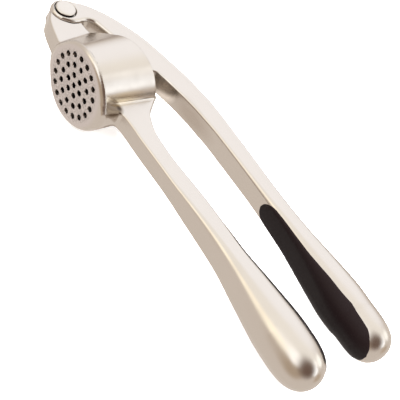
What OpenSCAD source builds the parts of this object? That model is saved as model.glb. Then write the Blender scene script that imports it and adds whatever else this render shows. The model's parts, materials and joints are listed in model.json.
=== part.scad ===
// Garlic press: two cast handles on a domed pivot pin, with a swivelling plunger
// that presses into a perforated chamber, and a soft grip set into each handle.
//
// Working frame: the sieve's outer face is the plane y = 0 and its centre is the
// origin, +X runs along the handles, +Y is the way the plunger is pulled out, and
// +Z is the pivot pin's axis. in_place() then moves everything so that the part's
// origin is at the bottom centre of its bounding box.

/* [Sieve] */
// Radius of the outer ring of sieve holes
hole_ring_r = 12.5; // [12:0.1:12.8]
// Diameter of one sieve hole
hole_d = 2.1; // [1.6:0.1:2.4]
// Rings of holes around the centre hole
hole_rings = 3; // [1:1:3]
// Thickness of the perforated plate
sieve_t = 2; // [1.5:0.1:2.2]

/* [Chamber] */
// Radius of the front plate around the sieve
flange_r = 17.1; // [16.9:0.1:17.5]
// How far the front plate bulges towards the handle
flange_bulge = 1.9; // [1.6:0.1:2.2]
// Thickness of that plate at its edge
flange_t = 2.2; // [2:0.1:2.6]
// Radius of the chamber's bore at the sieve
bore_r = 14.5; // [14.4:0.1:14.8]
// Outside radius of the chamber next to the flange
cup_r = 15.7; // [15.6:0.1:16.2]
// Height of the rim on the chamber's axis
rim_y = 24.4; // [23.5:0.1:24.8]
// Slant of the rim, higher on the handle's side
rim_slant = 11.3; // [9:0.1:12]

/* [Pivot] */
// Distance from the chamber's axis to the pivot pin
pivot_reach = 34.2; // [34:0.1:34.4]
// Height of the pivot pin above the sieve
pivot_y = 14.5; // [14.3:0.1:14.7]
// Radius of the pivot pin's shaft
pin_r = 2.5; // [2:0.1:2.8]
// Radius of the domed head
head_r = 4.25; // [3.8:0.05:4.3]
// Radius of the upper handle's ears
ear_r = 6; // [5.9:0.1:6.2]
// Thickness of the tongue between the ears
tongue_t = 4.4; // [4:0.1:4.8]

/* [Handles] */
// Thickness of the lug, root and neck of the lower casting
lug_t = 8; // [7.8:0.1:8.2]
// Thickness of the upper casting at its ears
arm_t = 9.6; // [9.4:0.1:10]
// How far a soft grip stands proud of its bulb
grip_proud = 0.2; // [0.1:0.1:0.4]

/* [Plunger] */
// Radius of the pressing disc
plunger_r = 13.6; // [13.2:0.1:13.7]
// Radius of the plunger's hinge pin
plunger_pin_r = 1.75; // [1.5:0.05:1.9]
// Gap between disc and sieve with the handles closed
closed_gap = 0.35; // [0.3:0.05:0.8]

/* [Hidden] */

$fn = 72;
eps = 0.05;
big = 60;
metal = "#e0d8cf";
rubber = "#2b2927";

run_gap = 0.05;     // radial clearance of a shaft that turns
side_gap = 0.2;     // clearance beside a tongue
ring_points = 40;   // points around a lofted section
steps = 3;          // rings between two listed stations
cap_steps = 9;      // rings that round off a bulb's end

// Where the plunger hangs on the upper handle, and how far its face is below.
closing_angle = 4.5;
swivel_ratio = -0.1;
hinge = [-0.8, 26];
pivot = [-pivot_reach, pivot_y];
function turned(p, c, a) = [
    c.x + (p.x - c.x) * cos(a) - (p.y - c.y) * sin(a),
    c.y + (p.x - c.x) * sin(a) + (p.y - c.y) * cos(a)];
hinge_closed = turned(hinge, pivot, -closing_angle);
face_drop = hinge_closed.y - sieve_t - closed_gap;
plunger_tilt = closing_angle * (1 + swivel_ratio);

// Stations of the lower handle: x, centre y, half height, half width, squareness.
lower_bulb_end = 148.6;
lower_stations = [
    [14, 18.4, 10.6, 4, 9],
    [16, 18.2, 10.3, 4, 9],
    [18, 17, 9, 4, 9],
    [20, 15.9, 7.8, 4, 8],
    [23, 15.2, 6.3, 4, 8],
    [27, 14.6, 5.2, 4.1, 7],
    [32, 14.1, 4.6, 4.2, 7],
    [38, 14, 4.3, 4.2, 7],
    [46, 14.3, 4.2, 4.3, 7],
    [56, 15, 4.5, 4.4, 7],
    [68, 15.5, 4.7, 5.3, 6],
    [80, 15.7, 4.8, 6, 5],
    [92, 15.8, 5.4, 6.8, 4],
    [104, 15.8, 7, 7.9, 3],
    [116, 15.8, 8.8, 9.1, 2.5],
    [123, 15.8, 9.7, 9.8, 2.3],
    [131, 15.8, 10.1, 10.2, 2.2]];

// Stations of the upper handle.
upper_bulb_end = 147.4;
upper_stations = [
    [14, 44.1, 5.6, 4.8, 24],
    [20, 45.3, 5.2, 4.9, 14],
    [26, 46.3, 5, 5, 9],
    [32, 46.9, 4.8, 5.2, 7],
    [38, 47.4, 4.5, 5.2, 7],
    [46, 47.8, 4.4, 5.2, 7],
    [56, 48.2, 4.3, 5.3, 7],
    [68, 48.6, 4.2, 5.5, 6],
    [80, 48.9, 4.4, 6.1, 5],
    [92, 49.3, 5.1, 6.9, 4],
    [104, 49.6, 6.5, 8.2, 3],
    [114, 49.8, 7.9, 9.1, 2.5],
    [121, 49.9, 8.8, 9.6, 2.3],
    [128, 50.1, 9.1, 9.6, 2.2],
    [134, 50.6, 9, 9.3, 2.2]];

// Side view of the upper handle's head, from the ears to the neck.
arm_back = [[-38.6, 19], [-35.6, 24.8], [-30.3, 30.5], [-23.6, 35.5], [-15.2, 40.2],
            [-7, 43.4], [2, 46.2], [10, 48.5], [16, 49.9]];
arm_belly = [[16, 39.4], [10, 37.5], [0, 34], [-10, 30.2], [-18, 26.6], [-22.5, 24.8],
             [-25.6, 23.4], [-27, 20.8], [-27, 17], [-27.6, 13.6], [-30.2, 10]];

// Side view of the lug between the chamber and the pivot.
lug_front = [[-14, 1.2], [-18, 2.4], [-23, 3.4], [-28, 4.6], [-32, 6], [-35.6, 8.7]];
lug_rear = [[-29, 18.6], [-27, 18.3], [-24.5, 18.4], [-21.8, 18.9], [-19.4, 20],
            [-17.4, 21.4], [-14, 22.4]];

// A grip's outline: x counted from its front end, half width.
grip_outline = [[0, 0], [0.7, 2], [2.4, 3.5], [6, 4.6], [12, 5.2], [20, 5.7], [28, 6.4],
                [36, 7.3], [43, 8.1], [50, 8.6], [57, 8.5], [62, 7.8], [66, 6.7],
                [69, 5.2], [71, 3.2], [72, 0]];
lower_grip_x = 74.5;
lower_seat_y = 18.8;
upper_grip_x = 73;
upper_seat_y = 46.4;

// Bounding box of the assembly, which places the origin.
x_min = pivot.x - ear_r;
x_max = lower_bulb_end;
bulb_back = upper_stations[len(upper_stations) - 1];
y_max = bulb_back[1] + bulb_back[2];
z_min = -flange_r;

// ---- helpers ----------------------------------------------------------------

module in_place() {
    translate([-(x_min + x_max) / 2, -y_max / 2, -z_min]) children();
}

// Turns a solid drawn around Z so that its axis is Y.
module along_y() {
    rotate([-90, 0, 0]) children();
}

function mix(a, b, c, d, t) =
    0.5 * (2 * b + (c - a) * t + (2 * a - 5 * b + 4 * c - d) * t * t
           + (3 * b - a - 3 * c + d) * t * t * t);

// A smooth curve through every listed station.
function curve(list, n) = let (m = len(list) - 1) concat(
    [for (i = [0:m - 1]) for (k = [0:n - 1])
        mix(list[max(i - 1, 0)], list[i], list[i + 1], list[min(i + 2, m)], k / n)],
    [list[m]]);

// Rings that close a bulb, a little blunter than half an ellipse.
blunt = 2.25;
function cap(s, x_end, n) = [for (k = [1:n])
    let (u = sin(90 * k / n), w = max(pow(1 - pow(u, blunt), 1 / blunt), 0.02))
        [s[0] + (x_end - s[0]) * u, s[1], s[2] * w, s[3] * w, s[4]]];

function stations(list, x_end) =
    concat(curve(list, steps), cap(list[len(list) - 1], x_end, cap_steps));

function signed_power(v, p) = sign(v) * pow(abs(v), p);

function ring(s, grow) = [for (i = [0:ring_points - 1])
    let (t = 360 * (i + 0.5) / ring_points, p = 2 / s[4])
    [s[0],
     s[1] + (s[2] + grow) * signed_power(cos(t), p),
     (s[3] + grow) * signed_power(sin(t), p)]];

function skin(rings, n) = concat(
    [[for (i = [0:n - 1]) i]],
    [[for (i = [n - 1:-1:0]) (rings - 1) * n + i]],
    [for (k = [0:rings - 2]) for (i = [0:n - 1]) let (j = (i + 1) % n)
        [k * n + i, (k + 1) * n + i, (k + 1) * n + j, k * n + j]]);

module loft(sections, grow = 0) {
    polyhedron(points = [for (s = sections) each ring(s, grow)],
               faces = skin(len(sections), ring_points), convexity = 4);
}

module plate(points, thickness) {
    linear_extrude(height = thickness, center = true) polygon(points);
}

// The teardrop of a grip, as a prism along Y.
module grip_prism(x0, y0, y1, inset = 0) {
    edge = curve(grip_outline, 2);
    side = [for (p = edge) [x0 + p.x, p.y - (p.y > 1 ? inset : 0)]];
    other = [for (i = [len(side) - 2:-1:1]) [side[i].x, -side[i].y]];
    translate([0, y1, 0]) rotate([90, 0, 0])
        linear_extrude(height = y1 - y0) polygon(concat(side, other));
}

// ---- lower casting ----------------------------------------------------------

module disc(r) {
    nose = 1.2;
    back = 0.3;
    along_y() rotate_extrude() polygon(concat(
        [[0, 0]],
        [for (a = [0:15:90]) [r - nose + nose * sin(a), nose - nose * cos(a)]],
        [[r, flange_t - back], [r - back, flange_t], [0, flange_t]]));
}

// The front plate: a disc around the sieve and a second one nearer the handle.
module flange() {
    shift = 2.2;
    disc(flange_r);
    translate([shift, 0, 0]) disc(flange_r + flange_bulge - shift);
}

module above_rim() {
    translate([0, rim_y, 0]) rotate([0, 0, rim_slant])
        translate([-big, 0, -big]) cube([2 * big, big, 2 * big]);
}

module cup_wall() {
    wall_h = 30;
    rim_r = 17.1;
    difference() {
        along_y() cylinder(h = wall_h, r1 = cup_r - 0.1, r2 = rim_r + 0.2);
        above_rim();
    }
}

module chamber_bore() {
    bore_h = 32;
    taper = 1.28;
    translate([0, sieve_t, 0]) along_y() cylinder(h = bore_h, r1 = bore_r, r2 = bore_r + taper);
}

module sieve_holes() {
    translate([0, -1, 0]) along_y() {
        cylinder(h = sieve_t + 2, d = hole_d, $fn = 24);
        for (k = [1:hole_rings]) for (i = [0:6 * k - 1])
            rotate([0, 0, 360 * i / (6 * k)]) translate([hole_ring_r * k / hole_rings, 0, 0])
                cylinder(h = sieve_t + 2, d = hole_d, $fn = 24);
    }
}

module lug() {
    translate([pivot.x, pivot.y, 0]) cylinder(h = lug_t, r = ear_r, center = true);
    plate(concat(curve(lug_front, 3), [[-39, 11.6], [-36, 18.6]], curve(lug_rear, 3)), lug_t);
}

module root_block() {
    root_x = 19.4;
    translate([cup_r - 3, 0.6, -lug_t / 2]) cube([root_x - cup_r + 3, 12, lug_t]);
}

// Room beside the tongue for the ears, wider where their cheeks leave the circle.
module ear_pockets() {
    pocket_r = ear_r + 0.4;
    cheek = [[6.6, -24], [7.6, -18], [8, 0], [8.6, 14], [9.6, 28], [9.6, 60]];
    for (s = [-1, 1]) translate([pivot.x, pivot.y, s * (tongue_t / 2 + big / 2)]) {
        cylinder(h = big, r = pocket_r, center = true);
        plate(concat([[0, 0]], [for (c = cheek) c[0] * [cos(c[1]), sin(c[1])]]), big);
    }
}

module lower_handle() color(metal) in_place() difference() {
    union() {
        flange();
        cup_wall();
        lug();
        root_block();
        loft(stations(lower_stations, lower_bulb_end));
    }
    chamber_bore();
    sieve_holes();
    ear_pockets();
    translate([pivot.x, pivot.y, 0]) cylinder(h = big, r = pin_r + run_gap, center = true);
    grip_prism(lower_grip_x, lower_seat_y, big);
}

// ---- upper casting ----------------------------------------------------------

module head_plate() {
    translate([pivot.x, pivot.y, 0]) cylinder(h = arm_t, r = ear_r, center = true);
    plate(concat(curve(arm_back, 3), curve(arm_belly, 3), [[-34, 12], [-39, 15]]), arm_t);
}

module clevis() {
    boss_r = 4.2;
    boss_w = 5.2;
    translate([hinge.x, hinge.y, 0]) cylinder(h = arm_t, r = boss_r, center = true);
    plate([[hinge.x - boss_r, hinge.y], [hinge.x + boss_r, hinge.y],
           [hinge.x + boss_w, 39], [hinge.x - boss_w, 34]], arm_t);
}

module tongue_slot() {
    slot_r = ear_r + 2.8;
    translate([pivot.x, pivot.y, 0])
        cylinder(h = tongue_t + 2 * side_gap, r = slot_r, center = true);
}

module plunger_slot() {
    slot_r = 5.4;
    translate([hinge.x, hinge.y, 0])
        cylinder(h = tongue_t + 2 * side_gap, r = slot_r, center = true);
}

module head_recesses() {
    recess_r = head_r + 0.2;
    recess_t = 1;
    for (s = [-1, 1]) translate([pivot.x, pivot.y, s * (arm_t / 2 - recess_t + big / 2)])
        cylinder(h = big, r = recess_r, center = true);
}

module upper_handle() color(metal) in_place() difference() {
    union() {
        head_plate();
        clevis();
        loft(stations(upper_stations, upper_bulb_end));
    }
    tongue_slot();
    plunger_slot();
    head_recesses();
    translate([pivot.x, pivot.y, 0]) cylinder(h = big, r = pin_r, center = true);
    translate([hinge.x, hinge.y, 0]) cylinder(h = big, r = plunger_pin_r, center = true);
    grip_prism(upper_grip_x, -big, upper_seat_y);
}

// ---- plunger ----------------------------------------------------------------

// Drawn with its hinge at the origin and its axis along -Y.
module plunger_solid() {
    edge_t = 2.6;
    edge_round = 0.5;
    cone_r = 6;
    column_top = 9;
    lug_r = 3.9;
    translate([0, -face_drop, 0]) along_y() rotate_extrude() polygon([
        [0, 0], [plunger_r - edge_round, 0], [plunger_r, edge_round],
        [plunger_r, edge_t - edge_round], [plunger_r - edge_round, edge_t],
        [cone_r, edge_t + 1.6], [5, edge_t + 3], [5, face_drop - column_top], [0, face_drop - column_top]]);
    cylinder(h = tongue_t, r = lug_r, center = true);
    translate([-lug_r, -face_drop + edge_t, -tongue_t / 2]) cube([2 * lug_r, face_drop - edge_t, tongue_t]);
}

module plunger() color(metal) in_place() translate([hinge.x, hinge.y, 0]) rotate([0, 0, plunger_tilt])
    difference() {
        plunger_solid();
        cylinder(h = big, r = plunger_pin_r + run_gap, center = true);
    }

module plunger_pin() color(metal) in_place() translate([hinge.x, hinge.y, 0])
    cylinder(h = arm_t - 0.4, r = plunger_pin_r, center = true);

// ---- pivot ------------------------------------------------------------------

// A shallow dome of radius r whose flat side is at z = 0.
module dome(r, rise) {
    sphere_r = (r * r + rise * rise) / (2 * rise);
    rotate_extrude() polygon(concat([[0, 0], [r, 0]],
        [for (k = [0:8]) let (x = r * (1 - k / 8)) [x, rise - sphere_r + sqrt(sphere_r * sphere_r - x * x)]]));
}

head_z = arm_t / 2 - 1;
head_edge = 0.7;
head_rise = 0.8;
spigot_r = 1.5;

module domed_head() {
    cylinder(h = head_edge, r = head_r);
    translate([0, 0, head_edge]) dome(head_r, head_rise);
}

module pivot_pin() color(metal) in_place() translate([pivot.x, pivot.y, 0]) {
    translate([0, 0, -head_z]) cylinder(h = 2 * head_z, r = pin_r);
    translate([0, 0, head_z]) domed_head();
    translate([0, 0, -head_z - head_edge]) cylinder(h = head_edge + eps, r = spigot_r);
}

module pivot_cap() color(metal) in_place() translate([pivot.x, pivot.y, 0]) difference() {
    mirror([0, 0, 1]) translate([0, 0, head_z]) domed_head();
    translate([0, 0, -head_z - head_edge]) cylinder(h = 2, r = spigot_r);
}

// ---- grips ------------------------------------------------------------------

module lower_grip() color(rubber) in_place() intersection() {
    loft(stations(lower_stations, lower_bulb_end), grip_proud);
    grip_prism(lower_grip_x, lower_seat_y, big);
}

module upper_grip() color(rubber) in_place() intersection() {
    loft(stations(upper_stations, upper_bulb_end), grip_proud);
    grip_prism(upper_grip_x, -big, upper_seat_y);
}

lower_handle();
upper_handle();
plunger();
plunger_pin();
pivot_pin();
pivot_cap();
lower_grip();
upper_grip();
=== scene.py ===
import json
import math

import bpy
import numpy as np
from mathutils import Matrix, Vector


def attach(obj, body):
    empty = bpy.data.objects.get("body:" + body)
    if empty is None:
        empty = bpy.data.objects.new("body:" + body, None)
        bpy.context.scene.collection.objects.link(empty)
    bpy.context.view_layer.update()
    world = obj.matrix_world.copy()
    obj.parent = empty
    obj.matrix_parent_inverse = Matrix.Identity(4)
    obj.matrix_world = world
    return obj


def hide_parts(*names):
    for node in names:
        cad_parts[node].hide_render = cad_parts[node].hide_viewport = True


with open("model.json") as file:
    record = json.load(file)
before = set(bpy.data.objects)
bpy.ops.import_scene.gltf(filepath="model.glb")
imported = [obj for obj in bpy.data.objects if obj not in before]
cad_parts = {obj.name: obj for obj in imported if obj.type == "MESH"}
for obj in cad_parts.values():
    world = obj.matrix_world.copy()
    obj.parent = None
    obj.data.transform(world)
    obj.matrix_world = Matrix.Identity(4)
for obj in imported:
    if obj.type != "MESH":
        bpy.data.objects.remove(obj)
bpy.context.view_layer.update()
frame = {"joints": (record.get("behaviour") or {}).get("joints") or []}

# The shapes are written in millimetres with the origin at the centre of the sieve's
# outer face: +X along the handles, +Y into the chamber, +Z along the pivot pin.
PIVOT = np.array([-34.2, 14.5])  # the pivot pin's axis, in X and Y
HINGE = np.array([-0.8, 26.0])  # the axis of the pin that the plunger swings on
joint_at = {joint["name"]: np.array(joint["pos_m"]) * 1000 for joint in frame["joints"]}
SHIFT = joint_at["handle_hinge"] - [*PIVOT, 0]

# ---- sizes of the lower casting --------------------------------------------------------

CHAMBER_R, CHAMBER_FLARE = 15.36, 0.0565  # outer radius at the face, and its growth with depth
SHOULDER_R = 8.0  # the chamber's rounded end towards the lug
SHOULDER_REACH, SHOULDER_LEAN = 10.7, 0.14  # that end's distance at the face, and its growth
CHAMBER_START = 0.5
RIM_Y, RIM_SLOPE = 24.4, 0.2  # the chamber's open end, which rises towards the handle
BORE_R, BORE_FLARE = 14.5, 0.04  # radius at the sieve, and its growth
SIEVE_THICK = 2.0
HOLE_R, HOLE_CUT = 1.12, 4.0  # radius, and how deep the holes are cut
HOLE_RINGS, OUTER_RING_R = 3, 12.5
PLATE_THICK = 2.2
FACE_EDGE, FACE_SCALE = 2.4, 1.1  # rounding of the face's edge, and how fast the face's field grows
FOOT_INSET, FOOT_TOP, FOOT_EDGE = 0.2, 9.2, 2.2
FOOT_HALF, FOOT_TAPER = 7.0, 0.42  # half width at the plate, and what it loses a millimetre
TAPER_START, TAPER_RUN = 1.0, 7.0
NOSE_R = 5.7  # the lug's round end about the pivot
LUG_HALF, TONGUE_HALF = 4.0, 2.2  # half thickness of the lug, and of its tongue between the ears
EAR_ROOM, NOSE_ROOM, EAR_ROOM_END = 0.4, 0.6, -22.0  # clearance about the ears, and where it stops

# ---- sizes of the upper casting --------------------------------------------------------

EAR_R = 6.0
TONGUE_SLOT_R, PLUNGER_SLOT_R, SLOT_HALF = 8.8, 5.4, 2.4
BOSS_R, BOSS_LEAN = 4.2, 0.05  # the block under the arm that holds the plunger's pin
BOSS_MIDDLE, BOSS_HALF_HEIGHT = 32.0, 6.5
RECESS_R, RECESS_FLOOR = 4.6, 3.2  # round hollow for the pivot's head

# ---- sizes of the bulbs and grips ------------------------------------------------------

LOWER_END, LOWER_CAP = 148.6, 127.0  # tip of the bulb, and where its dome starts
UPPER_END, UPPER_CAP = 147.4, 130.3
DOME_POWER, DOME_EDGE = 1.8, 0.97  # bluntness, and rounding as a share of the half height
CROWN, CROWN_LIMIT = 0.3, 2.0  # how much lower the handles' faces are at their edges
LOWER_GRIP, LOWER_SEAT = 74.5, 18.8  # start of the grip in X, and its pocket's floor in Y
UPPER_GRIP, UPPER_SEAT = 73.0, 46.4
POCKET_INSET = 0.8  # how far the pocket stays inside the grip's outline
GRIP_MARGIN = 0.35  # how far the rubber reaches past it, so that it laps over the pocket's edge
GRIP_PROUD, GRIP_ROUND = 0.2, 0.8  # height over the handle's skin, and edge rounding

# ---- sizes of the plunger and the pins -------------------------------------------------

TILT = math.radians(4.05)  # the plunger leans by this at rest, to follow the bore
DROP = 20.99  # from the plunger's pin down to the disc's underside
DISC_R, DISC_THICK = 13.6, 2.6
COLUMN_R, COLUMN_START, COLUMN_END = 5.0, 1.0, 12.0
SWIVEL_R, SWIVEL_HALF, SWIVEL_BORE_R = 3.9, 2.2, 1.8  # the flat lug that hangs on the pin
SWIVEL_START, SWIVEL_END = 4.0, 21.0
HEAD_R, HEAD_SEAT, HEAD_SIDE_TOP, HEAD_DOME = 4.15, 3.2, 5.15, 0.6  # radius, and heights in z
HEAD_BEVEL, HEAD_BEVEL_HEIGHT = 0.15, 0.2
SHAFT_R = 2.5
AXLE_R, AXLE_HALF, AXLE_BEVEL = 1.75, 4.6, 0.2
CLOSED = 0.001  # a turned piece closes at this radius

# ---- outlines --------------------------------------------------------------------------

# Stations along each handle: x, centre in y, half height, half width, edge radius.
HALF_WIDTH, EDGE_RADIUS = 3, 4
LOWER = [
    (14, 18.4, 10.6, 4, 0.7), (18, 17, 9, 4, 0.7), (20, 15.9, 7.8, 4, 0.7),
    (23, 15.2, 6.3, 4, 0.75), (27, 14.6, 5.2, 4.05, 0.8), (32, 14.1, 4.6, 4.1, 0.85),
    (38, 14, 4.3, 4.15, 0.9), (46, 14.3, 4.2, 4.2, 1), (56, 15, 4.5, 4.35, 1.2),
    (68, 15.5, 4.7, 5.2, 1.7), (80, 15.7, 4.8, 5.9, 2.4), (92, 15.8, 5.4, 6.6, 3.6),
    (104, 15.8, 7, 7.8, 5.4), (116, 15.8, 8.8, 9.0, 7.7), (123, 15.8, 9.7, 9.7, 9),
    (131, 15.8, 10.1, 10.1, 9.9), (160, 15.8, 10.1, 10.1, 9.9),
]
# The first two rows of UPPER give only the ears' width and edge radius.
UPPER = [
    (-30, 0, 0, 4.8, 1.5), (-12, 0, 0, 4.8, 1),
    (14, 44.1, 5.6, 4.8, 0.8), (20, 45.3, 5.2, 4.85, 0.8), (26, 46.3, 5, 4.9, 0.85),
    (32, 46.9, 4.8, 5, 0.9), (38, 47.4, 4.5, 5, 0.9), (46, 47.8, 4.4, 5.1, 1),
    (56, 48.2, 4.3, 5.2, 1.2), (68, 48.6, 4.2, 5.4, 1.6), (80, 48.9, 4.4, 6, 2.3),
    (92, 49.3, 5.1, 6.8, 3.4), (104, 49.6, 6.5, 8, 5), (114, 49.8, 7.9, 9, 6.8),
    (121, 49.9, 8.8, 9.5, 8), (128, 50.1, 9.1, 9.5, 8.8), (134, 50.6, 9, 9.3, 8.9),
    (160, 50.6, 9, 9.3, 8.9),
]
# Side view of the lower handle by the chamber: its upper edge, and its lower edge back to the face.
NECK_TOP = [(15.4, 30), (16.4, 28.3), (18.2, 26.3), (20, 24.5), (21.5, 22.9), (23.2, 21.5),
            (25.6, 20.4), (29.2, 19.2), (33, 18.5)]
NECK_UNDER = [(28, 9.5), (24.5, 9.4), (22, 9.1), (20.6, 8.7), (19.8, 7.8), (19.55, 6.2),
              (19.5, 3.5), (19.5, -1)]
# Side view of the upper handle's arm: its back from the pivot on, and its belly towards the pivot.
BACK = [(-38.6, 19), (-35.6, 24.8), (-30.3, 30.5), (-23.6, 35.5), (-15.2, 40.2), (-7, 43.4),
        (2, 46.2), (10, 48.5)]
BELLY = [(14, 38.6), (10, 37.4), (0, 34), (-10, 30.2), (-18, 26.6), (-22.5, 24.8), (-25.6, 23.4),
         (-27, 20.8), (-27, 17), (-27.6, 13.6), (-30.2, 10)]
# Side view of the lug: the edge towards the face, and the edge towards the arm.
LUG_FRONT = [(-14, 1.2), (-18, 2.2), (-23, 3.2), (-28, 4.3), (-32, 5.8), (-35.6, 8.5)]
LUG_REAR = [(-29, 18.6), (-27, 18.3), (-24.5, 18.4), (-21.8, 18.9), (-19.4, 20), (-17.4, 21.4),
            (-14, 22.4)]
# Half of a grip's outline, seen along Y: distance from its start, and half width.
GRIP = [(0, 0), (0.7, 2.1), (2, 3.6), (3.6, 4.5), (6, 5.05), (9, 5.25), (12, 5.4), (16, 5.55),
        (20, 5.75), (24, 6.05), (28, 6.4), (32, 6.85), (36, 7.3), (40, 7.75), (44, 8.1),
        (48, 8.35), (52, 8.5), (56, 8.55), (60, 8.4), (64, 7.9), (67, 7), (69.4, 5.4),
        (71.2, 3.2), (72, 0)]
# The front plate is a disc drawn out towards the handle: degrees from the handle, and radius.
PLATE_RADII = [(0, 19.8), (8, 19.75), (14, 19.6), (28, 18.6), (38, 18.1), (46, 17.8), (56, 17.5),
               (70, 17.2), (85, 17.1), (180, 17.1)]


def catmull(points, steps=6):
    """A smooth line through the points, with so many steps between two of them."""
    p = np.array(points, float)
    p = np.vstack([2 * p[0] - p[1], p, 2 * p[-1] - p[-2]])
    t = np.linspace(0, 1, steps, endpoint=False)[:, None]
    spans = []
    for a, b, c, d in zip(p, p[1:], p[2:], p[3:]):
        square = (2 * a - 5 * b + 4 * c - d) * t**2
        cube = (3 * b - a - 3 * c + d) * t**3
        spans.append(0.5 * (2 * b + (c - a) * t + square + cube))
    return np.vstack(spans + [p[-2][None]])


def side_line(table, sign, first):
    """The upper (1) or lower (-1) edge of a handle's side view, from a station on."""
    return [(row[0], row[1] + sign * row[2]) for row in table[first:]]


def lower_side():
    """The lower handle's side view. It runs on past the chamber's wall and the face."""
    top = catmull(NECK_TOP + side_line(LOWER, 1, first=6))
    under = catmull(side_line(LOWER, -1, first=5)[::-1] + NECK_UNDER)
    return np.vstack([top, under, [(10, -1), (8, 30)]])


def upper_side():
    """The upper handle's side view with its ears, closed across the pivot."""
    back = catmull(BACK + side_line(UPPER, 1, first=3))
    belly = catmull(side_line(UPPER, -1, first=3)[::-1] + BELLY)
    return np.vstack([back, belly, [(-34, 12), (-39, 15)]])


def grip_outline():
    """Both halves of a grip's outline as one closed line."""
    edge = catmull(GRIP, 4)
    return np.vstack([edge, (edge * [1, -1])[-2:0:-1]])


def plate_outline(step=4):
    """The plate's outline, one point every few degrees."""
    listed, radii = np.array(PLATE_RADII).T
    points = []
    for degrees in range(0, 360, step):
        from_handle = min(degrees, 360 - degrees)
        radius = np.interp(from_handle, listed, radii)
        angle = math.radians(degrees)
        points.append((radius * math.cos(angle), radius * math.sin(angle)))
    return np.array(points)


def sieve_holes():
    """Centres of the holes: one in the middle, and rings of 6, 12 and 18 about it."""
    centres = [(0.0, 0.0)]
    for ring in range(1, HOLE_RINGS + 1):
        radius = OUTER_RING_R * ring / HOLE_RINGS
        for k in range(6 * ring):
            angle = 2 * math.pi * k / (6 * ring)
            centres.append((radius * math.cos(angle), radius * math.sin(angle)))
    return centres


LOWER_SIDE = lower_side()
UPPER_SIDE = upper_side()
LUG_SIDE = np.vstack([catmull(LUG_FRONT), [(-38.6, 11.8), (-36, 18.4)], catmull(LUG_REAR)])
GRIP_SIDE = grip_outline()
PLATE = plate_outline()
HOLES = sieve_holes()

# ---- distance fields: negative inside a solid, in millimetres -----------------------------


def fuse(a, b, r):
    """Union of two solids with a fillet of radius r where they join."""
    return np.maximum(r, np.minimum(a, b)) - np.hypot(np.maximum(r - a, 0), np.maximum(r - b, 0))


def meet(a, b, r):
    """Intersection of two solids with an edge rounded to radius r."""
    return -fuse(-a, -b, r)


def carve(a, b, r):
    """Solid a without b, with a rounded edge."""
    return meet(a, -b, r)


def polygon(u, v, points):
    """Signed distance to a closed outline in the plane."""
    nearest = np.inf
    inside = False
    for a, b in zip(points, np.roll(points, -1, axis=0)):
        e = b - a
        length2 = e @ e
        if length2 < 1e-9:
            continue
        du, dv = u - a[0], v - a[1]
        t = np.clip((du * e[0] + dv * e[1]) / length2, 0, 1)
        nearest = np.minimum(nearest, (du - e[0] * t) ** 2 + (dv - e[1] * t) ** 2)
        above, below = v >= a[1], v < b[1]
        left = e[0] * dv > e[1] * du
        inside = inside ^ ((above & below & left) | (~above & ~below & ~left))
    return np.where(inside, -1, 1) * np.sqrt(nearest)


def from_axis(x, y, axis):
    """Distance from an axis that runs along Z."""
    return np.hypot(x - axis[0], y - axis[1])


def along(x, table, column):
    """A listed value as a smooth function of x."""
    line = catmull([(row[0], row[column]) for row in table])
    return np.interp(x, line[:, 0], line[:, 1])


def bulb(side, x, z, table, end, cap):
    """A handle from its side view, its half width and its edge radius, closed by a dome."""
    width = along(x, table, HALF_WIDTH)
    last_half_height = table[-1][2]
    crowned = side + CROWN * np.minimum((z / width) ** 2, CROWN_LIMIT)
    section = meet(crowned, np.abs(z) - width, along(x, table, EDGE_RADIUS))
    dome = np.clip((x - cap) / (end - cap), 0, None) ** DOME_POWER
    return meet(section, last_half_height * (dome - 1), last_half_height * DOME_EDGE)


def grip_plan(x, z, start):
    """Signed distance to a grip's outline, seen along Y."""
    return polygon(x - start, z, GRIP_SIDE)


def pocket(x, z, start, seat):
    """The hollow that a grip sits in, from its seat outwards."""
    return meet(grip_plan(x, z, start) + POCKET_INSET, seat, r=0.2)


def inlay(skin, x, z, start, seat):
    """A grip: the handle's own skin made a little prouder, from the seat outwards."""
    return meet(skin - GRIP_PROUD, meet(grip_plan(x, z, start) - GRIP_MARGIN, seat, r=0.1), GRIP_ROUND)


def shouldered(x, z, radius, reach, shoulder):
    """A circle drawn out towards -X to a smaller circle at the given reach."""
    sine = (radius - shoulder) / reach
    cosine = np.sqrt(1 - sine**2)
    side = -x * cosine - np.abs(z) * sine
    flank = np.abs(z) * cosine - x * sine - radius
    end = np.hypot(x + reach, z) - shoulder
    return np.where(side < 0, np.hypot(x, z) - radius, np.where(side > cosine * reach, end, flank))


# ---- the lower casting --------------------------------------------------------------------


def chamber(x, y, z):
    """The chamber's outside, still solid."""
    radius = CHAMBER_R + CHAMBER_FLARE * y
    wall = shouldered(x, z, radius, SHOULDER_REACH + SHOULDER_LEAN * y, SHOULDER_R)
    rim = (y - RIM_Y - RIM_SLOPE * x) / math.hypot(1, RIM_SLOPE)
    return meet(meet(wall, rim, r=0.5), CHAMBER_START - y, r=0.1)


def foot(outline, y, z):
    """The block between plate and neck, which narrows from the plate to the neck."""
    flank = np.abs(z) - FOOT_HALF + FOOT_TAPER * np.clip(y - TAPER_START, 0, TAPER_RUN)
    return meet(meet(outline + FOOT_INSET, flank, FOOT_EDGE), y - FOOT_TOP, FOOT_EDGE)


def lug(x, y, z):
    """The narrow plate from the chamber to the pivot."""
    nose = from_axis(x, y, PIVOT) - NOSE_R
    return meet(fuse(polygon(x, y, LUG_SIDE), nose, r=0.5), np.abs(z) - LUG_HALF, r=0.8)


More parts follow.
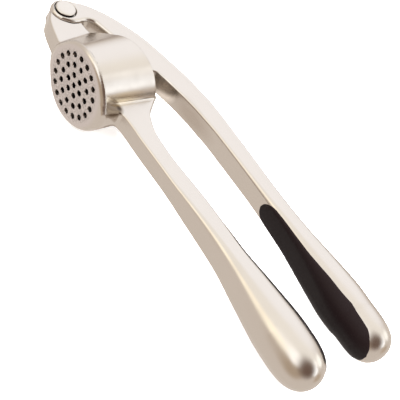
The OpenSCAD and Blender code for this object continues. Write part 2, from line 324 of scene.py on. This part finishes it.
def ear_room(x, y, z):
    """What the lug gives up on both sides of its tongue, for the upper handle's ears."""
    nose = from_axis(x, y, PIVOT) - NOSE_R
    ears = meet(polygon(x, y, UPPER_SIDE) - EAR_ROOM, x - EAR_ROOM_END, r=0.1)
    return meet(np.minimum(nose - NOSE_ROOM, ears), TONGUE_HALF - np.abs(z), r=0.2)


def bore(x, y, z):
    """The chamber's inside, down to the sieve."""
    radius = BORE_R + BORE_FLARE * (y - SIEVE_THICK)
    return meet(np.hypot(x, z) - radius, SIEVE_THICK - y, r=0.6)


def hole_cutters(x, y, z):
    """The rods that the sieve's holes are cut with."""
    nearest = np.inf
    for hole_x, hole_z in HOLES:
        nearest = np.minimum(nearest, (x - hole_x) ** 2 + (z - hole_z) ** 2)
    return np.maximum(np.sqrt(nearest) - HOLE_R, y - HOLE_CUT)


def lower_skin(x, y, z):
    """The lower handle and its bulb, without pocket."""
    return bulb(polygon(x, y, LOWER_SIDE), x, z, LOWER, LOWER_END, LOWER_CAP)


def lower_handle(x, y, z):
    """Sieve, chamber, front plate, lug and lower handle in one casting."""
    outline = polygon(x, z, PLATE)
    plate = meet(outline, y - PLATE_THICK, r=0.3)
    body = fuse(chamber(x, y, z), lower_skin(x, y, z), r=0.6)
    body = fuse(body, foot(outline, y, z), r=2.0)
    body = fuse(body, plate, r=0.8)
    body = meet(body, -FACE_SCALE * y, FACE_EDGE)
    body = fuse(body, lug(x, y, z), r=1.2)
    body = carve(body, ear_room(x, y, z), r=0.3)
    body = carve(body, bore(x, y, z), r=0.5)
    body = carve(body, hole_cutters(x, y, z), r=0.1)
    return carve(body, pocket(x, z, LOWER_GRIP, LOWER_SEAT - y), r=0.15)


def lower_grip(x, y, z):
    return inlay(lower_skin(x, y, z), x, z, LOWER_GRIP, LOWER_SEAT - y)


# ---- the upper casting --------------------------------------------------------------------


def boss(x, y):
    """Side view of the block under the arm, rounded about the plunger's pin."""
    flank = np.abs(x - HINGE[0] - (y - HINGE[1]) * BOSS_LEAN) - BOSS_R
    block = np.maximum(flank, np.abs(y - BOSS_MIDDLE) - BOSS_HALF_HEIGHT)
    return np.minimum(from_axis(x, y, HINGE) - BOSS_R, block)


def upper_handle(x, y, z):
    """Two ears, arm, boss for the plunger's pin and upper handle in one casting."""
    az = np.abs(z)
    from_pivot = from_axis(x, y, PIVOT)
    side = fuse(polygon(x, y, UPPER_SIDE), from_pivot - EAR_R, r=0.5)
    side = fuse(side, boss(x, y), r=2)
    body = bulb(side, x, z, UPPER, UPPER_END, UPPER_CAP)
    tongue_slot = meet(from_pivot - TONGUE_SLOT_R, az - SLOT_HALF, r=0.2)
    plunger_slot = meet(from_axis(x, y, HINGE) - PLUNGER_SLOT_R, az - SLOT_HALF, r=0.2)
    body = carve(body, np.minimum(tongue_slot, plunger_slot), r=0.3)
    recess = meet(from_pivot - RECESS_R, RECESS_FLOOR - az, r=0.2)
    body = carve(body, recess, r=0.35)
    return carve(body, pocket(x, z, UPPER_GRIP, y - UPPER_SEAT), r=0.15)


def upper_grip(x, y, z):
    skin = bulb(polygon(x, y, UPPER_SIDE), x, z, UPPER, UPPER_END, UPPER_CAP)
    return inlay(skin, x, z, UPPER_GRIP, y - UPPER_SEAT)


# ---- the plunger --------------------------------------------------------------------------


def slab(v, start, end):
    """Between two heights."""
    return np.abs(v - (start + end) / 2) - (end - start) / 2


def plunger(x, y, z):
    """The disc, its cone, the column and the flat lug, in the plunger's own tilted axes."""
    dx, dy = x - HINGE[0], y - HINGE[1]
    u = dx * math.cos(TILT) + dy * math.sin(TILT)
    v = -dx * math.sin(TILT) + dy * math.cos(TILT) + DROP
    r = np.hypot(u, z)
    from_pin = np.hypot(u, v - DROP)
    disc = meet(r - DISC_R, slab(v, 0, DISC_THICK), r=0.45)
    column = meet(r - COLUMN_R, slab(v, COLUMN_START, COLUMN_END), r=0.6)
    body = fuse(disc, column, r=2.2)
    flank = np.maximum(np.abs(u) - SWIVEL_R, slab(v, SWIVEL_START, SWIVEL_END))
    swivel = meet(np.minimum(from_pin - SWIVEL_R, flank), np.abs(z) - SWIVEL_HALF, r=0.4)
    body = fuse(body, swivel, r=0.6)
    return carve(body, from_pin - SWIVEL_BORE_R, r=0.2)


# ---- meshes ---------------------------------------------------------------------------------

PULLS, LONGEST_PULL = 2, 0.4  # how often, and by how much at most, points are moved onto the surface


def surface_nets(values, axes):
    """One vertex in each cell that the surface crosses, and a quad round each crossed edge."""
    inside = values < 0
    corners = [(i, j, k) for i in (0, 1) for j in (0, 1) for k in (0, 1)]
    size = [n - 1 for n in values.shape]

    def cut(array, c):
        return array[c[0] : c[0] + size[0], c[1] : c[1] + size[1], c[2] : c[2] + size[2]]

    count = sum(cut(inside, c).astype(np.int8) for c in corners)
    cells = np.argwhere((count > 0) & (count < 8))
    number = np.full(size, -1, np.int64)
    number[tuple(cells.T)] = np.arange(len(cells))
    total, hits = np.zeros((len(cells), 3)), np.zeros(len(cells))
    for a in corners:
        for b in corners:
            if sum(b) - sum(a) != 1 or any(q < p for p, q in zip(a, b)):
                continue
            ia, ib = cells + a, cells + b
            fa, fb = values[tuple(ia.T)], values[tuple(ib.T)]
            crossed = (fa < 0) != (fb < 0)
            t = np.where(crossed, fa / np.where(crossed, fa - fb, 1), 0)
            for d in range(3):
                pa, pb = axes[d][ia[:, d]], axes[d][ib[:, d]]
                total[:, d] += np.where(crossed, pa + (pb - pa) * t, 0)
            hits += crossed
    points = total / hits[:, None]
    quads = []
    for d in range(3):
        e, f = [q for q in range(3) if q != d]
        low = [slice(1, -1)] * 3
        low[d] = slice(0, -1)
        high = list(low)
        high[d] = slice(1, None)
        start, stop = inside[tuple(low)], inside[tuple(high)]
        at = np.argwhere(start != stop)
        outward = start[tuple(at.T)]
        at[:, [e, f]] += 1
        around = []
        for de, df in ((-1, -1), (0, -1), (0, 0), (-1, 0)):
            c = at.copy()
            c[:, e] += de
            c[:, f] += df
            around.append(number[tuple(c.T)])
        q = np.stack(around, 1)
        turn = outward if d != 1 else ~outward
        q[~turn] = q[~turn][:, ::-1]
        quads.append(q)
    return points, np.vstack(quads)


def grid(*spans):
    """Coordinates with a step for each span: (start, stop, step), ..."""
    parts = [np.arange(a, b - step * 0.25, step) for a, b, step in spans]
    return np.concatenate(parts + [[spans[-1][1]]])


def slope(field, points, h=0.01):
    """The field's gradient at each point."""
    gradient = np.empty_like(points)
    for d in range(3):
        moved = points.copy()
        moved[:, d] += h
        plus = field(*moved.T)
        moved[:, d] -= 2 * h
        gradient[:, d] = (plus - field(*moved.T)) / (2 * h)
    return gradient


def place(name, mesh, finish, body, nodes):
    """Puts a mesh into the scene as a piece that rides on a body and stands for CAD nodes."""
    mesh.materials.append(finish)
    obj = bpy.data.objects.new(name, mesh)
    bpy.context.scene.collection.objects.link(obj)
    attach(obj, body)
    if nodes:
        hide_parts(*nodes)


def cast(name, field, axes, finish, body, slot, *nodes):
    """A solid's skin, pulled onto its distance field, as one piece."""
    x, y, z = np.meshgrid(*axes, indexing="ij", sparse=True)
    values = np.broadcast_to(field(x, y, z), [len(a) for a in axes])
    points, quads = surface_nets(values, axes)
    for _ in range(PULLS):
        g = slope(field, points)
        step = field(*points.T) / np.maximum((g * g).sum(1), 0.05)
        points = points - g * np.clip(step, -LONGEST_PULL, LONGEST_PULL)[:, None]
    g = slope(field, points, 0.05)
    normals = g / np.maximum(np.linalg.norm(g, axis=1), 1e-6)[:, None]
    mesh = bpy.data.meshes.new(name)
    mesh.vertices.add(len(points))
    mesh.vertices.foreach_set("co", ((points + SHIFT) / 1000).astype(np.float32).ravel())
    mesh.loops.add(quads.size)
    mesh.loops.foreach_set("vertex_index", quads.ravel().astype(np.int32))
    mesh.polygons.add(len(quads))
    mesh.polygons.foreach_set("loop_start", np.arange(0, quads.size, 4, dtype=np.int32))
    mesh.update(calc_edges=True)
    mesh.validate()
    mesh.polygons.foreach_set("use_smooth", np.ones(len(mesh.polygons), bool))
    mesh.normals_split_custom_set_from_vertices(normals.tolist())
    place(name, mesh, finish, body, nodes)


def lathe(name, profile, centre, finish, body, slot, *nodes, sides=96):
    """A turned piece about the Z axis: profile holds (radius, z) from one end to the other."""
    p = np.array(profile, float)
    a = np.arange(sides) * 2 * math.pi / sides
    heights = np.repeat(p[:, 1:2], sides, 1)
    rings = np.stack([np.outer(p[:, 0], np.cos(a)), np.outer(p[:, 0], np.sin(a)), heights], -1)
    verts = rings.reshape(-1, 3) + [centre[0], centre[1], 0]
    faces = []
    for k in range(len(p) - 1):
        for i in range(sides):
            j = (i + 1) % sides
            faces.append((k * sides + i, k * sides + j, (k + 1) * sides + j, (k + 1) * sides + i))
    mesh = bpy.data.meshes.new(name)
    mesh.from_pydata(((verts + SHIFT) / 1000).tolist(), [], faces)
    mesh.validate()
    mesh.polygons.foreach_set("use_smooth", np.ones(len(mesh.polygons), bool))
    place(name, mesh, finish, body, nodes)


# ---- materials --------------------------------------------------------------------------------

PLATING, PIN_PLATING = (0.64, 0.588, 0.533), (0.66, 0.61, 0.55)
RUBBER_BLACK = (0.005, 0.0024, 0.0026)
# painted shade for the hole walls and the chamber's inside by the sieve
HOLE_PAINTED_SHADE = (0.04, 0.032, 0.027)
FACE_TONE = (0.665, 0.61, 0.585)
# painted shade round the feet of the pivot's heads
PIN_PAINTED_SHADE = (0.08, 0.065, 0.055)

# Soft spots of other tones on the castings, the sieve face's own tone and also painted shade and painted
# light: centre, radii, fade from, fade to, colour.
MIDDLE_TONES_AND_PAINTED_LIGHT = [
    ((0, 0, 0), (17.5, 1.6, 17.5), 0.9, 1.0, FACE_TONE),
    ((27, 41, 0), (17, 4.2, 6.2), 0.3, 1.0, (0.53, 0.47, 0.41)),  # painted shade on the arm's underside
    ((11.5, 37.6, 0), (7.5, 2.6, 5.5), 0.5, 1.0, (0.97, 0.9, 0.82)),  # painted light where the underside begins
]


def painted_side_spots(side):
    """The painted shade and the painted reflection that both sides have; side is 1 or -1."""
    return [
        ((14.8, 12, side * 5.8), (2.2, 12, 3.6), 0.3, 1.0, (0.77, 0.66, 0.49)),  # painted reflection: a warm band on the chamber
        ((17.6, 6, side * 4.6), (4.2, 5.2, 3.4), 0.7, 1.05, (0.22, 0.17, 0.125)),  # painted shade beside the foot
        ((17.7, 9.0, side * 3.6), (1.7, 1.6, 1.5), 0.3, 1.0, (0.045, 0.032, 0.027)),  # painted shade, darkest in its deepest part
        ((*PIVOT, side * 3.9), (4.95, 4.95, 0.88), 0.9, 1.0, (0.1, 0.08, 0.07)),  # painted shade in the head's recess
    ]


def new_material(name, base, metallic, rough):
    """A material, with its nodes, its links and its shader."""
    m = bpy.data.materials.new(name)
    m.use_nodes = True
    shader = m.node_tree.nodes["Principled BSDF"]
    shader.inputs["Base Color"].default_value = (*base, 1)
    shader.inputs["Metallic"].default_value = metallic
    shader.inputs["Roughness"].default_value = rough
    return m, m.node_tree.nodes, m.node_tree.links, shader


def position(nodes):
    """Where a point of the surface is, in the object's own axes."""
    return nodes.new("ShaderNodeTexCoord").outputs["Object"]


def ranged(nodes, links, source, start, stop, low, high):
    """Runs from start to stop while the source runs from low to high."""
    n = nodes.new("ShaderNodeMapRange")
    links.new(source, n.inputs["Value"])
    n.inputs["From Min"].default_value = low
    n.inputs["From Max"].default_value = high
    n.inputs["To Min"].default_value = start
    n.inputs["To Max"].default_value = stop
    return n.outputs["Result"]


def noise(nodes, links, coords, scale, detail=3.0, rough=0.6):
    """A soft random pattern from 0 to 1."""
    n = nodes.new("ShaderNodeTexNoise")
    n.inputs["Scale"].default_value = scale
    n.inputs["Detail"].default_value = detail
    n.inputs["Roughness"].default_value = rough
    links.new(coords, n.inputs["Vector"])
    return n.outputs["Fac"]


def calculated(nodes, links, kind, operation, first, second=None):
    """A vector or plain maths node; second is a vector of numbers or another node's output."""
    n = nodes.new(kind)
    n.operation = operation
    links.new(first, n.inputs[0])
    if isinstance(second, bpy.types.NodeSocket):
        links.new(second, n.inputs[1])
    elif second is not None:
        n.inputs[1].default_value = second
    return n


def near(nodes, links, coords, centre, radii, inner, outer):
    """1 inside an ellipsoid about a point given in the shapes' millimetres, 0 outside it."""
    vector = "ShaderNodeVectorMath"
    at = (np.array(centre) + SHIFT) / 1000
    shifted = calculated(nodes, links, vector, "SUBTRACT", coords, at)
    scale = 1 / np.array(radii) * 1000
    stretched = calculated(nodes, links, vector, "MULTIPLY", shifted.outputs["Vector"], scale)
    length = calculated(nodes, links, vector, "LENGTH", stretched.outputs["Vector"])
    return ranged(nodes, links, length.outputs["Value"], 1, 0, inner, outer)


def bumped(nodes, links, shader, height, strength, depth):
    """Adds a bump to the shader, on top of any bump that it has."""
    bump = nodes.new("ShaderNodeBump")
    bump.inputs["Strength"].default_value = strength
    bump.inputs["Distance"].default_value = depth
    links.new(height, bump.inputs["Height"])
    if shader.inputs["Normal"].is_linked:
        links.new(shader.inputs["Normal"].links[0].from_socket, bump.inputs["Normal"])
    links.new(bump.outputs["Normal"], shader.inputs["Normal"])


def mixed(nodes, links, amount, under, over, blend="MIX"):
    """One colour over another by an amount; each is three numbers or another node's output."""
    mix = nodes.new("ShaderNodeMix")
    mix.data_type = "RGBA"
    mix.blend_type = blend
    links.new(amount, mix.inputs["Factor"])
    for colour, socket in ((under, mix.inputs["A"]), (over, mix.inputs["B"])):
        if isinstance(colour, bpy.types.NodeSocket):
            links.new(colour, socket)
        else:
            socket.default_value = (*colour, 1)
    return mix.outputs["Result"]


def tinted(nodes, links, coords, base, spots):
    """The base colour with soft spots of other colours."""
    colour = base
    for centre, radii, inner, outer, tint in spots:
        colour = mixed(nodes, links, near(nodes, links, coords, centre, radii, inner, outer), colour, tint)
    return colour


def plated(name, base, rough):
    """Satin plating: a soft cloudiness in the gloss and a fine blasted grain."""
    m, nodes, links, shader = new_material(name, base, 1.0, rough)
    coords = position(nodes)
    cloud = noise(nodes, links, coords, 120)
    gloss = ranged(nodes, links, cloud, rough - 0.03, rough + 0.03, 0.35, 0.65)
    links.new(gloss, shader.inputs["Roughness"])
    bumped(nodes, links, shader, noise(nodes, links, coords, 2600, 2), strength=0.04, depth=0.00006)
    return m, nodes, links, shader


def cast_plating():
    """The castings: a coarse, pitted grain on the sieve's face, painted shade, painted light and a painted
    reflection in soft spots, and painted shade in the holes.
    """
    m, nodes, links, shader = plated("satin_plating", PLATING, 0.24)
    coords = position(nodes)
    on_face = near(nodes, links, coords, (0, 0, 0), (14.6, 0.5, 14.6), 0.97, 1.03)
    grain = noise(nodes, links, coords, 1500, 4, 0.7)
    relief = calculated(nodes, links, "ShaderNodeMath", "MULTIPLY", grain, on_face)
    bumped(nodes, links, shader, relief.outputs["Value"], strength=0.5, depth=0.0003)
    pits = ranged(nodes, links, grain, 0.72, 1.08, 0.38, 0.6)
    spots = MIDDLE_TONES_AND_PAINTED_LIGHT + painted_side_spots(1) + painted_side_spots(-1)
    colour = tinted(nodes, links, coords, PLATING, spots)
    colour = mixed(nodes, links, on_face, colour, pits, "MULTIPLY")
    # painted shade: the hole walls and the chamber's inside by the sieve go near black
    painted_hole_shade = near(nodes, links, coords, (0, 1.7, 0), (14.2, 1.35, 14.2), 0.93, 1.0)
    colour = mixed(nodes, links, painted_hole_shade, colour, HOLE_PAINTED_SHADE)
    links.new(colour, shader.inputs["Base Color"])
    return m


def pin_plating():
    """The pins: brighter plating, with painted shade round the heads' feet."""
    m, nodes, links, shader = plated("pin_plating", PIN_PLATING, 0.18)
    head_shade = [((*PIVOT, side * 4.2), (6.0, 6.0, 1.25), 0.94, 1.0, PIN_PAINTED_SHADE) for side in (1, -1)]
    colour = tinted(nodes, links, position(nodes), PIN_PLATING, head_shade)
    links.new(colour, shader.inputs["Base Color"])
    return m


def soft_rubber():
    """Matt, nearly black rubber with a fine texture."""
    m, nodes, links, shader = new_material("soft_grip", RUBBER_BLACK, 0.0, 0.5)
    shader.inputs["Specular IOR Level"].default_value = 0.16
    fine = noise(nodes, links, position(nodes), 1800, 3)
    bumped(nodes, links, shader, fine, strength=0.25, depth=0.0001)
    return m


METAL = cast_plating()
PIN = pin_plating()
RUBBER = soft_rubber()

# ---- pieces -------------------------------------------------------------------------------------

cast("lower_casting", lower_handle,
     (grid((-41, 25, 0.4), (25, 96, 0.8), (96, 150, 0.6)),
      grid((-0.55, 29.8, 0.4)), grid((-17.7, 17.7, 0.4))),
     METAL, "lower", "casting", "lower_handle")
cast("upper_casting", upper_handle,
     (grid((-41, 14, 0.4), (14, 70, 0.8), (70, 149, 0.55)),
      grid((7.9, 60.4, 0.42)), grid((-10.3, 10.3, 0.4))),
     METAL, "upper", "casting", "upper_handle")
cast("plunger_casting", plunger,
     (grid((-14, 15.5, 0.45)), grid((3.3, 30.6, 0.45)), grid((-14.1, 14.1, 0.45))),
     METAL, "plunger", "casting", "plunger")
cast("lower_inlay", lower_grip,
     (grid((73.7, 147.4, 0.4)), grid((18.3, 26.8, 0.32)), grid((-9.4, 9.4, 0.3))),
     RUBBER, "lower", "grip", "lower_grip")
cast("upper_inlay", upper_grip,
     (grid((72.2, 145.8, 0.4)), grid((40, 46.9, 0.32)), grid((-9.4, 9.4, 0.3))),
     RUBBER, "upper", "grip", "upper_grip")


def head(sign):
    """Half of a domed head: its flat underside, side and dome, as (radius, z)."""
    line = [(CLOSED, HEAD_SEAT), (HEAD_R - HEAD_BEVEL, HEAD_SEAT)]
    line.append((HEAD_R, HEAD_SEAT + HEAD_BEVEL_HEIGHT))
    for a in np.linspace(0, math.pi / 2, 20)[:-1]:
        line.append((HEAD_R * math.cos(a), HEAD_SIDE_TOP + HEAD_DOME * math.sin(a)))
    line.append((CLOSED, HEAD_SIDE_TOP + HEAD_DOME))
    return [(r, sign * h) for r, h in line]


def rod(radius, half, bevel=0.0):
    """A round bar, with bevelled ends if there is a bevel, as (radius, z)."""
    start = [(CLOSED, -half), (radius, bevel - half)]
    if bevel:
        start.insert(1, (radius - bevel, -half))
    return start + [(r, -h) for r, h in start[::-1]]


lathe("pivot_head", head(1), PIVOT, PIN, "upper", "pin", "pivot_pin")
lathe("pivot_end", head(-1)[::-1], PIVOT, PIN, "upper", "pin", "pivot_cap")
lathe("pivot_shaft", rod(SHAFT_R, HEAD_SEAT), PIVOT, PIN, "upper", "pin")
lathe("plunger_axle", rod(AXLE_R, AXLE_HALF, AXLE_BEVEL), HINGE, PIN, "upper", "pin", "plunger_pin")

# ---- camera ---------------------------------------------------------------------------------------

# The camera's axes and place, in the shapes' directions and millimetres.
RIGHT = np.array([0.5162, 0.7656, 0.3838])
DOWN = np.array([0.7597, -0.2025, -0.6179])
AHEAD = np.array([-0.3953, 0.6106, -0.6862])
CAMERA_AT = np.array([286.3, -323.5, 386.8])

camera = bpy.data.objects.new("camera", bpy.data.cameras.new("camera"))
bpy.context.scene.collection.objects.link(camera)
turned = Matrix(np.stack([RIGHT, -DOWN, -AHEAD], 1).tolist()).to_4x4()
camera.matrix_world = Matrix.Translation(Vector((CAMERA_AT + SHIFT) / 1000)) @ turned
camera.data.sensor_width = 36
camera.data.lens = 135
camera.data.clip_start = 0.01
camera.data.clip_end = 20
bpy.context.scene.camera = camera

# ---- floor and light ----------------------------------------------------------------------------------

FLOOR_REACH = 3.0
KEY_AT, KEY_SIZE, KEY_POWER = (0.2, -0.2, 1.6), 1.8, 120
WALLS = (0.88, 0.81, 0.75)
# Soft round patches on the studio's walls, each over the ones before it:
# azimuth, elevation, degrees to where it starts to fade, degrees to its edge, colour.
PATCHES = [
    (-35, 74, 44, 73, (1.28, 1.26, 1.21)),  # wide and bright above
    (128, 34, 11, 41, (1.38, 1.4, 1.46)),  # cool wall
    (-70, 17, 17, 49, (0.6, 0.49, 0.38)),  # dim warm wall
    (42, 44, 5, 15, (1.8, 1.83, 1.84)),  # five bright windows
    (25, 27, 14, 19, (2.0, 2.1, 2.2)),
    (70, 25, 9, 19, (1.7, 1.74, 1.72)),
    (-83, 52, 9, 28, (1.78, 1.8, 1.8)),
    (-121, 36, 4, 17, (1.8, 1.7, 1.42)),
    (-15, 41, 15, 49, (0.2, 0.13, 0.1)),  # dark gap
    (37, -7, 5, 20, (0.66, 0.54, 0.42)),  # three dull spots below the horizon
    (144, -17, 6, 20, (0.5, 0.43, 0.38)),
    (116, -12, 5, 18, (0.55, 0.48, 0.43)),
]


def lay_floor():
    """A plain pale floor that the metal doesn't reflect."""
    r = FLOOR_REACH
    mesh = bpy.data.meshes.new("floor")
    mesh.from_pydata([(-r, -r, 0), (r, -r, 0), (r, r, 0), (-r, r, 0)], [], [(0, 1, 2, 3)])
    sheet, _, _, shader = new_material("floor_sheet", (0.86, 0.86, 0.86), 0.0, 0.6)
    shader.inputs["Emission Color"].default_value = (1, 1, 1, 1)
    shader.inputs["Emission Strength"].default_value = 0.6
    mesh.materials.append(sheet)
    floor = bpy.data.objects.new("floor", mesh)
    bpy.context.scene.collection.objects.link(floor)
    floor.visible_glossy = False


def hang_key():
    """A wide soft lamp above the press, for the floor and the rubber."""
    data = bpy.data.lights.new("key", "AREA")
    data.shape = "RECTANGLE"
    data.size = KEY_SIZE
    data.size_y = KEY_SIZE
    data.energy = KEY_POWER
    lamp = bpy.data.objects.new("key", data)
    bpy.context.scene.collection.objects.link(lamp)
    lamp.location = KEY_AT
    lamp.rotation_mode = "QUATERNION"
    lamp.rotation_quaternion = (-Vector(KEY_AT)).to_track_quat("-Z", "Y")
    lamp.visible_glossy = False


def towards(azimuth, elevation):
    """The direction with these two angles, in degrees."""
    a, e = math.radians(azimuth), math.radians(elevation)
    return math.cos(e) * math.cos(a), math.cos(e) * math.sin(a), math.sin(e)


def patched(nodes, links, ray, under, azimuth, elevation, inner, outer, colour):
    """A soft round patch of another colour on the studio's walls."""
    aim = towards(azimuth, elevation)
    dot = calculated(nodes, links, "ShaderNodeVectorMath", "DOT_PRODUCT", ray, aim)
    amount = nodes.new("ShaderNodeMapRange")
    amount.interpolation_type = "SMOOTHSTEP"
    links.new(dot.outputs["Value"], amount.inputs["Value"])
    amount.inputs["From Min"].default_value = math.cos(math.radians(outer))
    amount.inputs["From Max"].default_value = math.cos(math.radians(inner))
    return mixed(nodes, links, amount.outputs["Result"], under, colour)


def build_studio():
    """The walls that the metal reflects; the camera itself sees plain white behind the press."""
    world = bpy.data.worlds.new("studio")
    bpy.context.scene.world = world
    world.use_nodes = True
    nodes, links = world.node_tree.nodes, world.node_tree.links
    ray = nodes.new("ShaderNodeTexCoord").outputs["Generated"]
    walls = WALLS
    for row in PATCHES:
        walls = patched(nodes, links, ray, walls, *row)
    backdrop = nodes.new("ShaderNodeBackground")
    links.new(walls, backdrop.inputs["Color"])
    white = nodes.new("ShaderNodeBackground")
    white.inputs["Color"].default_value = (1, 1, 1, 1)
    either = nodes.new("ShaderNodeMixShader")
    links.new(nodes.new("ShaderNodeLightPath").outputs["Is Camera Ray"], either.inputs["Fac"])
    links.new(backdrop.outputs["Background"], either.inputs[1])
    links.new(white.outputs["Background"], either.inputs[2])
    links.new(either.outputs["Shader"], nodes["World Output"].inputs["Surface"])


lay_floor()
build_studio()
hang_key()
bpy.context.scene.view_settings.view_transform = "Standard"
